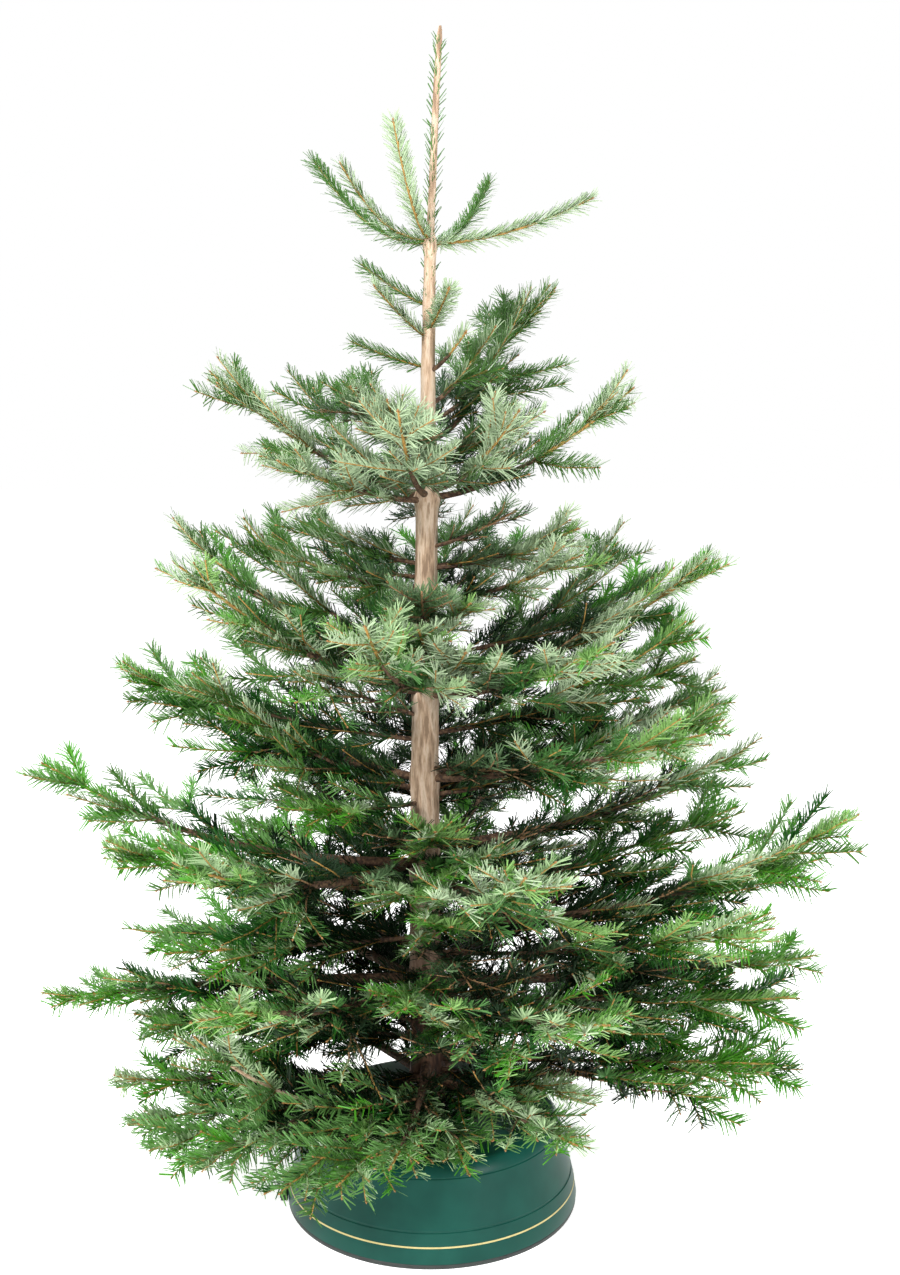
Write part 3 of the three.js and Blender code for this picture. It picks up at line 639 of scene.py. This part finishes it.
NEEDLES_PER_MM = [0.89, 0.7, 0.42, 0.3, 0.2]  # on shoots of each age
BARE_WRAP = 62
# The shoots at the top are the best clad, with needles that lean a little further forward.
TOP_DENSE, TOP_LONG, TOP_WRAP, TOP_LEAN = 2.4, 0.98, 150, -4
# Needles are finer and closer in the open upper crown: their number and width by whorl.
TIER_DENSE = [1.3, 1.3, 1.3, 1.3, 1.15, 1.1, 1, 0.92, 0.92]
TIER_WIDE = [0.82, 0.82, 0.82, 0.82, 0.94, 0.96, 1.06, 1.12, 1.12]
INNER_THIN = 0.45  # the shade leaves that share of them on the short inner boughs
SHOOT_PATCH = 6 * MM
OCHRE_BARK = [(0.3, "#8C6A2E"), (0.55, "#AB8340"), (0.8, "#987236")]
TWIG_BARK = [(0.3, "#6B5138"), (0.55, "#94714C"), (0.8, "#7D6246")]

MARKS = np.array([bough.marks for bough in boughs])


def in_space(bough, point):
    """Whether a point is in the bough's own part of the crown, or laces only a little out."""
    centre, radius = trunk_at(point[2])
    if point[2] < TRUNK_TOP and math.hypot(*(point - centre)[:2]) < radius + TRUNK_MARGIN:
        return False
    over_stand = math.hypot(point[0], point[1]) < STAND_RADIUS
    if point[2] < (STAND_CLEAR if over_stand else FLOOR_CLEAR):
        return False
    weight = np.array([1, 1, HEIGHT_WEIGHT])
    starts = MARKS[:, :-1] * weight
    runs = MARKS[:, 1:] * weight - starts
    off = point * weight - starts
    share = np.clip((runs * off).sum(2) / (runs ** 2).sum(2), 0, 1)
    gaps = np.linalg.norm(off - share[..., None] * runs, axis=2).min(1)
    return gaps[bough.key - 1] < gaps.min() + ROOM


def forks_of(stops, order, short_from):
    """Where an axis sends out side twigs, with what each still has to grow: first those of
    the solid tree, then the finer ones."""
    forks, finer = [], []
    for year in range(1, len(stops)):
        step = stops[year] - stops[year - 1]
        length = np.linalg.norm(step)
        short = ((stops[year] + stops[year - 1]) / 2, step / length, 1, SHORT_SHARE * length)
        if year >= short_from:
            forks.append(short)
        for share in SHORT_AT if order == 0 else ():
            left = np.linalg.norm(stops[-1] - stops[year - 1] - step * share)
            finer.append((stops[year - 1] + step * share, step / length, 1,
                          min(FINER_SHARE * length, FINER_REACH * left)))
        if year < len(stops) - 1:
            rest = sum(np.linalg.norm(stops[i] - stops[i - 1])
                       for i in range(year + 1, len(stops)))
            forks.append((stops[year], step / length, len(stops) - 1 - year,
                          SIDE_SHARE[order] * rest))
    return forks, finer


def side_twig(fork, up, side, key, share, spread):
    """The stops of one side twig of a fork, one for each year's node."""
    place, along, years, growth = fork
    angle = math.radians(spread + play(key, 3, SPREAD_PLAY))
    heading = along * math.cos(angle) + unit(np.cross(up, along)) * side * math.sin(angle)
    step = growth * share * (1 + play(key, 4, GROWTH_PLAY)) / years
    stops = [place]
    for year in range(years):
        heading = unit(heading + along * FORWARD + UP * LIFT * chance(key, 5 + year))
        stops.append(stops[-1] + heading * step)
    return stops


class Shoot:
    """One year's growth: its bough, line and upper side, its age in years and how many forks
    it is from the bough, its wood, and how its needles stand."""

    def __init__(self, bough, points, up, age, order):
        self.bough, self.points, self.up = bough, np.array(points), up
        self.age, self.order = age, order
        self.young = age == 0 and not bough.inner
        self.radii = SHOOT_RADII[age + 1], SHOOT_RADII[age]
        self.wrap, self.lean = WRAP, LEAN
        self.long, self.wide = 1.0, TIER_WIDE[bough.level]
        self.dense = NEEDLES_PER_MM[age] * TIER_DENSE[bough.level]
        if bough.inner:
            self.dense *= INNER_THIN
        if bough.tier["years"] == 1:
            self.dense, self.long, self.wrap = TOP_DENSE, TOP_LONG, TOP_WRAP
            self.lean += TOP_LEAN
        if bough is bare_bough and order == 0:
            self.wrap = BARE_WRAP


shoots = []


def add_shoots(bough, stops, up, order, key):
    """Turns the stops of a twig into its yearly shoots, each a little bowed."""
    for year in range(1, len(stops)):
        low, high = stops[year - 1], stops[year]
        length = np.linalg.norm(high - low)
        sag = LEAST_BOW + (1 - LEAST_BOW) * chance(key, 30 + year)
        sweep = unit(np.cross(up, high - low)) * play(key, 40 + year, 1)
        bend = BOW * length * (up * -sag + sweep)
        points = [low + (high - low) * share + bend * math.sin(math.pi * share)
                  for share in np.linspace(0, 1, SHOOT_POINTS)]
        shoots.append(Shoot(bough, points, up, len(stops) - 1 - year, order))


def grow_side(bough, fork, order, up, side, key, spread=SPREAD):
    """Grows one side twig, shorter where it would leave its space, and its own twigs."""
    for share in SHORTER:
        if fork[3] * share < FINEST_TWIG:
            return
        twig = side_twig(fork, up, side, key, share, spread)
        if all(in_space(bough, stop) for stop in twig[1:]):
            add_shoots(bough, twig, up, order + 1, key)
            if order + 1 < len(SIDE_SHARE):
                add_sides(bough, twig, order + 1, up, key, math.inf)
            return


def add_sides(bough, stops, order, up, key, short_from):
    """Grows the side twigs of an axis, and theirs in turn."""
    forks, finer = forks_of(stops, order, short_from)
    for index, fork in enumerate(forks + finer):
        twist = TWIST * (1 if index % 2 else -1) + play(key, 20 + index, ROLL)
        fork_up = rolled(up, fork[1], twist)
        for side in (1, -1):
            twig_key = key * TWIG_KEY + index * 2 + (side > 0)
            if index < len(forks):
                grow_side(bough, fork, order, fork_up, side, twig_key)
            elif chance(twig_key, 50) < SHORT_KEPT:
                grow_side(bough, fork, order, fork_up, side, twig_key, SHORT_SPREAD)
    for index, (place, along, years, growth) in enumerate(forks if order == 0 else ()):
        for number, (turn, share, high, low) in enumerate(LAYERS):
            kept = high if bough.level < LOWER_CROWN else low
            if turn < 0 and bough.level == len(TIERS) - 1 and bough.out[0] > HANGS_LEFT_OF:
                continue
            for side in (1, -1):
                twig_key = key * LAYER_KEY + (index * len(LAYERS) + number) * 2 + (side > 0)
                if chance(twig_key, 51) < kept:
                    layer_up = rolled(up, along, turn * side + play(twig_key, 52, LAYER_PLAY))
                    fork = (place, along, years, growth * share)
                    grow_side(bough, fork, order, layer_up, side, twig_key, LAYER_SPREAD)


for bough in boughs:
    years, green = bough.tier["years"], bough.tier["green"]
    up = bough.upper_side()
    last = 1 - (REACH_LEFT if years > 1 else TOP_LEFT) / bough.reach
    for year in range(1, years + 1):
        low = max((year - 1) / years, green if years > 1 else bough.inside)
        if low >= year / years:
            continue
        shares = np.linspace(low, min(year / years, last), AXIS_POINTS)
        shoot = Shoot(bough, [bough.at(share) for share in shares], up, years - year, 0)
        shoot.radii = bough.radius(shares[0]), bough.radius(shares[-1])
        shoots.append(shoot)
    if years == 1:
        continue
    nodes = [year / years for year in range(1, years + 1) if year / years > green + NODE_CLEAR]
    add_sides(bough, [bough.at(share) for share in [bough.start] + nodes], 0, up, bough.key,
              years - 1)


def many_tubes(chosen):
    """Points and triangles of the closed tubes of many shoots, in millimetres."""
    points, faces, count = [], [], 0
    turn = np.linspace(0, math.tau, TWIG_SIDES, endpoint=False)[:, None]
    for shoot in chosen:
        line = shoot.points
        ahead = unit(line[-1] - line[0])
        side = unit(np.cross(shoot.up, ahead))
        top = np.cross(ahead, side)
        ring = np.cos(turn) * side + np.sin(turn) * top
        thick = np.linspace(*shoot.radii, len(line))
        for station, (point, radius) in enumerate(zip(line, thick)):
            points.append(point + ring * radius)
            if station == 0:
                continue
            low, high = count + (station - 1) * TWIG_SIDES, count + station * TWIG_SIDES
            for i in range(TWIG_SIDES):
                j = (i + 1) % TWIG_SIDES
                faces += [(low + i, low + j, high + j), (low + i, high + j, high + i)]
        last = count + (len(line) - 1) * TWIG_SIDES
        for i in range(1, TWIG_SIDES - 1):
            faces += [(count, count + i + 1, count + i), (last, last + i, last + i + 1)]
        count += len(line) * TWIG_SIDES
    return np.concatenate(points), np.array(faces)


def joined_mesh(name, points, faces, kinds=None, smooth=True):
    """A mesh from arrays of points in millimetres, triangles and material numbers."""
    mesh = bpy.data.meshes.new(name)
    mesh.vertices.add(len(points))
    mesh.vertices.foreach_set("co", (points * MM).ravel().astype(np.float32))
    mesh.loops.add(faces.size)
    mesh.loops.foreach_set("vertex_index", faces.ravel().astype(np.int32))
    mesh.polygons.add(len(faces))
    mesh.polygons.foreach_set("loop_start", np.arange(0, faces.size, 3, dtype=np.int32))
    mesh.polygons.foreach_set("use_smooth", np.full(len(faces), smooth))
    if kinds is not None:
        mesh.polygons.foreach_set("material_index", kinds.astype(np.int32))
    mesh.update(calc_edges=True)
    mesh.validate()
    return mesh


# Bark of this year's shoots: ochre and slightly downy. Older twigs turn grey-brown.
young_bark = mottled("ochre bark of this year's shoots", SHOOT_PATCH, 3.0, OCHRE_BARK,
                     Roughness=0.7)
twig_bark = mottled("grey-brown bark of older twigs", SHOOT_PATCH, 3.0, TWIG_BARK,
                    Roughness=0.8)

foliage_nodes = sorted(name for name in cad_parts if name.startswith("foliage_"))
young = [shoot for shoot in shoots if shoot.young]
older = [shoot for shoot in shoots
         if not shoot.young and (shoot.age == 0 or shoot.order > 0)]
show("young_shoots", joined_mesh("young shoots", *many_tubes(young)), [young_bark],
     foliage_nodes)
show("older_twigs", joined_mesh("older twigs", *many_tubes(older)), [twig_bark],
     foliage_nodes)


# Buds: each of this year's shoots ends in a resinous orange-brown bud, and the leader and
# the boughs' ends in a cluster. Small spindles, joined into one piece.

BUD_SIDES = 3
BUD_LENGTH, BUD_RADIUS = 6.5, 1.9
BUD_WIDEST = 0.45
BUD_SUNK, SIDE_BUD_SUNK = 1, 2  # how far back from the end of a shoot a bud stands
SIDE_BUD, SIDE_BUD_ANGLE = 0.7, 48
LEADER_BUD, LEADER_BUD_SUNK, LEADER_SIDE_SUNK = 1.1, 6, 8
LEADER_SIDE_BUDS = 5
ACROSS = (0.31, 0.52, 0.79)  # any way that no bud points
BUD_BROWN = "#9C7040"


def add_bud(points, faces, foot, ahead, size):
    """Adds the points and triangles of one bud that stands on a foot point."""
    side = unit(np.cross(ahead, ACROSS))
    top = np.cross(ahead, side)
    first = len(points)
    points.append(foot)
    for corner in range(BUD_SIDES):
        angle = math.tau * corner / BUD_SIDES
        out = (side * math.cos(angle) + top * math.sin(angle)) * BUD_RADIUS
        points.append(foot + (ahead * BUD_LENGTH * BUD_WIDEST + out) * size)
    points.append(foot + ahead * BUD_LENGTH * size)
    last = len(points) - 1
    for corner in range(BUD_SIDES):
        a, b = first + 1 + corner, first + 1 + (corner + 1) % BUD_SIDES
        faces += [(first, b, a), (a, b, last)]


# Bud scales: papery and orange-brown under a skin of dried resin, which gives a dull gloss.
bud_scales = new_material("resinous bud scales", Roughness=0.5, Base_Color=linear(BUD_BROWN))

points, faces = [], []
for shoot in young:
    foot = shoot.points[-1]
    ahead = unit(foot - shoot.points[-2])
    add_bud(points, faces, foot - ahead * BUD_SUNK, ahead, 1)
    if shoot.order > 0:
        continue
    side = unit(np.cross(shoot.up, ahead))
    for turn in (SIDE_BUD_ANGLE, -SIDE_BUD_ANGLE):
        add_bud(points, faces, foot - ahead * SIDE_BUD_SUNK,
                rolled(ahead, np.cross(side, ahead), turn), SIDE_BUD)
tip = trunk_at(TRUNK_TOP)[0]
add_bud(points, faces, tip - UP * LEADER_BUD_SUNK, UP, LEADER_BUD)
for number in range(LEADER_SIDE_BUDS):
    ahead = unit(heading_of(360 / LEADER_SIDE_BUDS * number) + UP)
    add_bud(points, faces, tip - UP * LEADER_SIDE_SUNK, ahead, SIDE_BUD)
show("buds", joined_mesh("buds", np.array(points), np.array(faces)), [bud_scales],
     foliage_nodes)


# Needles: flat, blunt and waxy, glossy green above and silvery white below. They cover the
# upper side of a shoot, lean forward along it and part below, so that the bark shows there.
# Each is one closed blade of four faces, turned a little from its foot to its tip.

NEEDLE_LENGTH = 21
NEEDLE_LONGER = 5.5  # at the sides of a shoot
NEEDLE_PLAY = 1.3
END_SHORT, END_MARGIN = 0.28, 0.02  # needles are shorter towards both ends of a year's growth
LEAST_NEEDLES = 6
LEAN_SIDE, LEAN_PLAY = 24, 6  # degrees that the needles at the sides lean out further
TO_LIGHT = 0.08
TILT = 26
ROOTED = 0.7  # of the shoot's radius, where a needle's foot stands
FOOT_WIDTH, TIP_WIDTH = 2.0, 1.2
NEEDLE_TURN = 24  # degrees from the foot to the tip, which gives the blade its thickness
NEEDLES_SEED = 11
MOST_NEEDLES = 48000  # in one piece
LEADER_SPAN, LEADER_POINTS = (1240, 1634), 12
LEADER_WRAP, LEADER_DENSE, LEADER_LONG = 180, 0.55, 0.78
FRONT = 270

# Needle colours by spray: above and below.
NEEDLE_TINTS = [
    ("silvery needles", "#446F2C", "#AABF99"),
    ("shaded silvery needles", "#1D4219", "#5F7D54"),
    # Fresh green at the outer tips: partly this year's growth and partly painted light.
    ("fresh green needles", "#4C9326", "#7EA75C"),
    ("full green needles", "#1A5215", "#467537"),
    # Dark needles deep in the crown and on older shoots: painted shade.
    ("dark needles of painted shade", "#0A220C", "#173017"),
    ("sage needles", "#62924C", "#9DB988"),
]
SILVERY, SHADED, FRESH, FULL, DARK, SAGE = range(len(NEEDLE_TINTS))
SILVER_SHARES = [1, 1, 1, 0.85, 0.6, 0.44, 0.24, 0.1, 0.05]  # silvery sprays by whorl
# Shares of sage green sprays lower down: on the left, on the right and in front at the foot.
SAGE_LEFT, SAGE_RIGHT, SAGE_LOW = 0.34, 0.12, 0.75
SAGE_FRONT = -0.2
# Shares of a bough's reach outside which sprays are silvery, fresh and, by whorl, not dark. Inside
# them sprays take the shaded silvery and the dark colours as painted shade.
SILVER_FROM, FRESH_FROM = 0.52, 0.79
DARK_TO = [0.36, 0.36, 0.36, 0.36, 0.42, 0.48, 0.55, 0.57, 0.57]
# Inner boughs count as lying this far out, with some play, and each year of a shoot's age moves it
# further in, towards the painted shade colours.
INNER_SHADE, SHADE_PLAY, SHADE_OF_AGE = 0.3, 0.09, 0.2


def tint_of(shoot, rng):
    """Which of the needle colours a spray has: brighter towards the outside, partly as fresh
    growth and partly as painted light, and darker deep inside as painted shade.
    """
    bough, end = shoot.bough, shoot.points[-1]
    out = math.hypot(*(end - trunk_at(min(end[2], TRUNK_TOP))[0])[:2])
    outer = INNER_SHADE if bough.inner else out / bough.reach
    outer += rng.normal(0, SHADE_PLAY) - SHADE_OF_AGE * shoot.age
    if rng.random() < SILVER_SHARES[bough.level]:
        return SILVERY if outer > SILVER_FROM else SHADED
    low = bough.level == len(TIERS) - 1 and bough.out[1] < SAGE_FRONT and not bough.inner
    share = SAGE_LOW if low else SAGE_LEFT if bough.out[0] < 0 else SAGE_RIGHT
    if rng.random() < share and outer > SILVER_FROM:
        return SAGE
    return FRESH if outer > FRESH_FROM else FULL if outer > DARK_TO[bough.level] else DARK


def units(vectors):
    return vectors / np.linalg.norm(vectors, axis=1)[:, None]


def needles_on(shoot, rng):
    """Foot, direction, upper side, length and width of the needles of one shoot."""
    line = shoot.points
    run = np.append(0, np.cumsum(np.linalg.norm(np.diff(line, axis=0), axis=1)))
    count = max(LEAST_NEEDLES, int(run[-1] * shoot.dense))
    reach = run[-1] * (np.arange(count) + rng.random(count)) / count
    foot = np.stack([np.interp(reach, run, line[:, i]) for i in range(3)], axis=1)
    slopes = np.gradient(line, run, axis=0)
    ahead = units(np.stack([np.interp(reach, run, slopes[:, i]) for i in range(3)], axis=1))
    top = units(shoot.up - ahead * (ahead @ shoot.up)[:, None])
    side = np.cross(ahead, top)
    wrap = rng.uniform(-1, 1, count)
    turn = np.radians(shoot.wrap * wrap)[:, None]
    lean = shoot.lean + LEAN_SIDE * np.abs(wrap) + rng.normal(0, LEAN_PLAY, count)
    lean = np.radians(lean)[:, None]
    out = np.cos(turn) * top + np.sin(turn) * side
    direction = units(np.cos(lean) * ahead + np.sin(lean) * out + UP * TO_LIGHT)
    face = units(top - direction * (direction * top).sum(1)[:, None])
    tilt = np.radians(rng.normal(0, TILT, count))[:, None]
    face = face * np.cos(tilt) + np.cross(direction, face) * np.sin(tilt)
    along = np.clip(reach / run[-1], END_MARGIN, 1 - END_MARGIN)
    ends = 1 - END_SHORT + END_SHORT * np.sqrt(np.sin(np.pi * along))
    length = NEEDLE_LENGTH + NEEDLE_LONGER * np.abs(wrap) + rng.normal(0, NEEDLE_PLAY, count)
    length *= ends * shoot.long
    wide = np.full(count, shoot.wide)
    return foot + out * shoot.radii[1] * ROOTED, direction, face, length, wide


def blades(foot, direction, face, length, wide):
    """Points and triangles of many needles, each a closed blade of two faces above and two
    below, narrower and turned at its tip."""
    across = np.cross(direction, face) * wide[:, None]
    face = face * wide[:, None]
    turn = math.radians(NEEDLE_TURN)
    foot_half = across * FOOT_WIDTH / 2
    tip_half = (across * math.cos(turn) + face * math.sin(turn)) * TIP_WIDTH / 2
    tip = foot + direction * length[:, None]
    corners = [foot - foot_half, foot + foot_half, tip - tip_half, tip + tip_half]
    points = np.stack(corners, axis=1).reshape(-1, 3)
    faces = np.array([(0, 1, 3), (0, 3, 2), (0, 2, 1), (1, 2, 3)])
    faces = faces + len(corners) * np.arange(len(foot))[:, None, None]
    return points, faces.reshape(-1, 3)


# Cuticle over green tissue: waxy, so it takes a soft highlight, which is duller on the dark needles
# of painted shade deep in the crown.
# Below, two bands of wax bloom scatter the light and look silvery.
needle_materials = []
for name, above, below in NEEDLE_TINTS:
    gloss = 0.15 if name == NEEDLE_TINTS[DARK][0] else 0.5
    upper = new_material(name + ", above", Roughness=0.3, IOR=1.5, Specular_IOR_Level=gloss,
                         Base_Color=linear(above))
    lower = new_material(name + ", below", Roughness=0.6, IOR=1.4, Base_Color=linear(below))
    needle_materials += [upper, lower]

rng = np.random.default_rng(NEEDLES_SEED)
sprays = [[] for _ in TIERS]
for shoot in shoots:
    needles = needles_on(shoot, rng)
    sprays[shoot.bough.level].append((needles, tint_of(shoot, rng)))

# The leader has sparse needles all round, from its foot at the top whorl to its bud.
heights = np.linspace(*LEADER_SPAN, LEADER_POINTS)
leader = Shoot(boughs[0], [trunk_at(height)[0] for height in heights], heading_of(FRONT), 0, 0)
leader.wrap, leader.dense, leader.long = LEADER_WRAP, LEADER_DENSE, LEADER_LONG
leader.radii = [trunk_at(height)[1] for height in LEADER_SPAN]
sprays[0].append((needles_on(leader, rng), SILVERY))

for level, whorl in enumerate(sprays):
    totals = np.cumsum([len(needles[0]) for needles, _ in whorl])
    parts = math.ceil(totals[-1] / MOST_NEEDLES)
    for part in range(parts):
        low, high = totals[-1] * part / parts, totals[-1] * (part + 1) / parts
        mine = [spray for spray, total in zip(whorl, totals) if low < total <= high]
        points, faces = blades(*(np.concatenate(each) for each in zip(*(row for row, _ in mine))))
        tints = np.concatenate([np.full(len(needles[0]), tint) for needles, tint in mine])
        kinds = (2 * tints[:, None] + np.array([0, 0, 1, 1])).ravel()
        mesh = joined_mesh(f"needles {level + 1} {part + 1}", points, faces, kinds, False)
        tier_nodes = [name for name in foliage_nodes if name.startswith(f"foliage_{level + 1}_")]
        show(f"needles_{level + 1}_{part + 1}", mesh, needle_materials,
             tier_nodes)


# Floor, lights and camera: a plain white studio of matt paper that glows a little, so that it
# stays white, with three round soft boxes at the front left, at the front right and overhead.

AMBIENT = 0.33
FLOOR_HALF = 30
FLOOR_GLOW = 0.74
PAPER_WHITE = "#F7F7F7"
WHITE = (1, 1, 1, 1)
# Name, place, width and power of the soft boxes, which all face the middle of the tree.
SOFT_BOXES = [
    ("key soft box", (-2.2, -3.4, 3.2), 1.2, 232),
    ("fill soft box", (2.8, -3.0, 1.6), 1.4, 82),
    ("top soft box", (0, 0.6, 4.0), 1.8, 138),
]
TREE_MIDDLE = Vector((0, 0, 0.8))
LENS = 42.35
CAMERA_PLACE = (0.0262, -2.090, 1.1056)
LOOKS_DOWN = 7.6

world = bpy.data.worlds.new("studio")
bpy.context.scene.world = world
world.use_nodes = True
tree = world.node_tree
ray = add_node(tree, "ShaderNodeLightPath", {})
glow = add_node(tree, "ShaderNodeMapRange", {"To Min": AMBIENT, "To Max": 1.0},
                Value=ray.outputs["Is Camera Ray"])
tree.nodes["Background"].inputs["Color"].default_value = WHITE
tree.links.new(glow.outputs["Result"], tree.nodes["Background"].inputs["Strength"])

bm = bmesh.new()
bmesh.ops.create_grid(bm, x_segments=1, y_segments=1, size=FLOOR_HALF)
floor = bpy.data.objects.new("floor", to_mesh("floor", bm))
bpy.context.scene.collection.objects.link(floor)
# Studio paper: matt white and evenly lit from all sides.
paper = new_material("white studio paper", Roughness=0.9, Base_Color=linear(PAPER_WHITE),
                     Emission_Color=WHITE, Emission_Strength=FLOOR_GLOW)
floor.data.materials.append(paper)

for name, place, width, power in SOFT_BOXES:
    light = bpy.data.lights.new(name, "AREA")
    light.shape = "DISK"
    light.size = width
    light.energy = power
    lamp = bpy.data.objects.new(name, light)
    bpy.context.scene.collection.objects.link(lamp)
    lamp.location = place
    lamp.rotation_euler = (TREE_MIDDLE - lamp.location).to_track_quat("-Z", "Y").to_euler()

camera_data = bpy.data.cameras.new("camera")
camera_data.lens = LENS
camera = bpy.data.objects.new("camera", camera_data)
bpy.context.scene.collection.objects.link(camera)
camera.location = CAMERA_PLACE
camera.rotation_euler = (math.radians(90 - LOOKS_DOWN), 0, 0)
bpy.context.scene.camera = camera
bpy.context.scene.view_settings.view_transform = "Standard"
